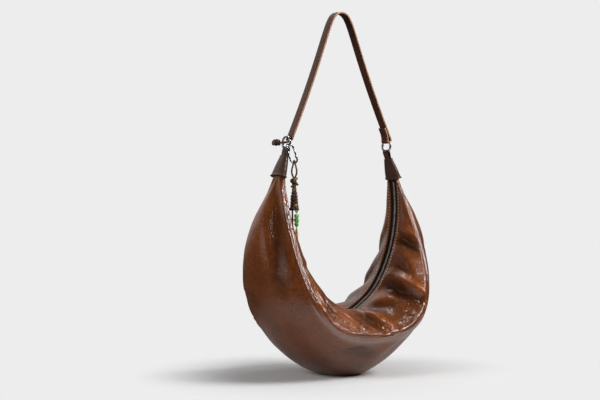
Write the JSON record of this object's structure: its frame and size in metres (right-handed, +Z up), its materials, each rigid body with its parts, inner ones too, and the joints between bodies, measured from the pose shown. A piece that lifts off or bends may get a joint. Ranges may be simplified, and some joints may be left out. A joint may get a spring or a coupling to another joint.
{
  "type": "shoulder bag",
  "caption": "Crescent-shaped zipped leather shoulder bag with capped horns, steel rings, an arched strap and a small hanging charm",
  "frame": {"origin": "centre of the bag's footprint, on the surface that it stands on", "axes": "X along the bag from horn to horn, the front faces -Y, Z up"},
  "size_m": [0.2554, 0.158, 0.446],
  "materials": {
    "outer_leather": "gloss crinkle",
    "panel_leather": "gloss crinkle",
    "lining_cloth": "matte",
    "zip_cloth": "woven",
    "zip_metal": "antique",
    "steel": "polished",
    "cap_leather": "gloss",
    "strap_leather": "gloss",
    "knot_leather": "satin",
    "cord": "twisted",
    "braid": "braided",
    "black_cord": "satin",
    "green_stone": "polished",
    "cream_thread": "satin"
  },
  "bodies": {
    "bag": {"outer_panel": "outer_leather", "front_panel": "panel_leather", "back_panel": "panel_leather", "lining": "lining_cloth", "zip_tape_front": "zip_cloth", "zip_tape_back": "zip_cloth", "zip_teeth_front": "zip_metal", "zip_teeth_back": "zip_metal", "zip_stops": "zip_metal", "left_cap": "cap_leather", "right_cap": "cap_leather", "left_tab": "cap_leather", "right_tab": "cap_leather"},
    "strap": {"strap": "strap_leather", "strap_tongue": "strap_leather", "strap_knot": "knot_leather", "left_ring": "steel", "right_ring": "steel"},
    "slider": {"zip_slider": "zip_metal"},
    "pull": {"zip_pull": "zip_metal"},
    "carabiner": {"carabiner_body": "steel", "carabiner_pin": "steel"},
    "gate": {"carabiner_gate": "steel"},
    "charm": {"charm_loop": "cord", "charm_knot": "cord", "charm_braid": "braid", "charm_cord": "black_cord"},
    "leaf": {"charm_leaf": "green_stone", "charm_tail": "cream_thread"}
  },
  "joints": [
    {"name": "strap_swing", "type": "hinge", "parent": "bag", "child": "strap", "pos_m": [0, 0, 0.283], "axis": [1, 0, 0], "range_deg": [-60, 45]},
    {"name": "slider_travel", "type": "hinge", "parent": "bag", "child": "slider", "pos_m": [0.09449, 0, 0.22278], "axis": [0, -1, 0], "range_deg": [0, 47.6], "deforming": ["zip_teeth_front", "zip_teeth_back"]},
    {"name": "pull_flip", "type": "hinge", "parent": "slider", "child": "pull", "pos_m": [-0.08659, 0, 0.21428], "axis": [0, -1, 0], "range_deg": [0, 150]},
    {"name": "carabiner_swing", "type": "hinge", "parent": "bag", "child": "carabiner", "pos_m": [-0.079, -0.00702, 0.28035], "axis": [0, 0.3534, -0.9355], "range_deg": [-15, 5]},
    {"name": "gate_open", "type": "hinge", "parent": "carabiner", "child": "gate", "pos_m": [-0.07005, -0.00785, 0.26669], "axis": [-0.0538, -0.9781, 0.2008], "range_deg": [0, 25], "stiffness_Nm_per_rad": 0.004, "springref_deg": -17.19},
    {"name": "charm_swing", "type": "hinge", "parent": "carabiner", "child": "charm", "pos_m": [-0.07423, -0.00928, 0.2588], "axis": [1, 0, 0], "range_deg": [-50, 50]},
    {"name": "leaf_swing", "type": "hinge", "parent": "charm", "child": "leaf", "pos_m": [-0.07075, -0.00928, 0.20075], "axis": [1, 0, 0], "range_deg": [-50, 50]}
  ]
}
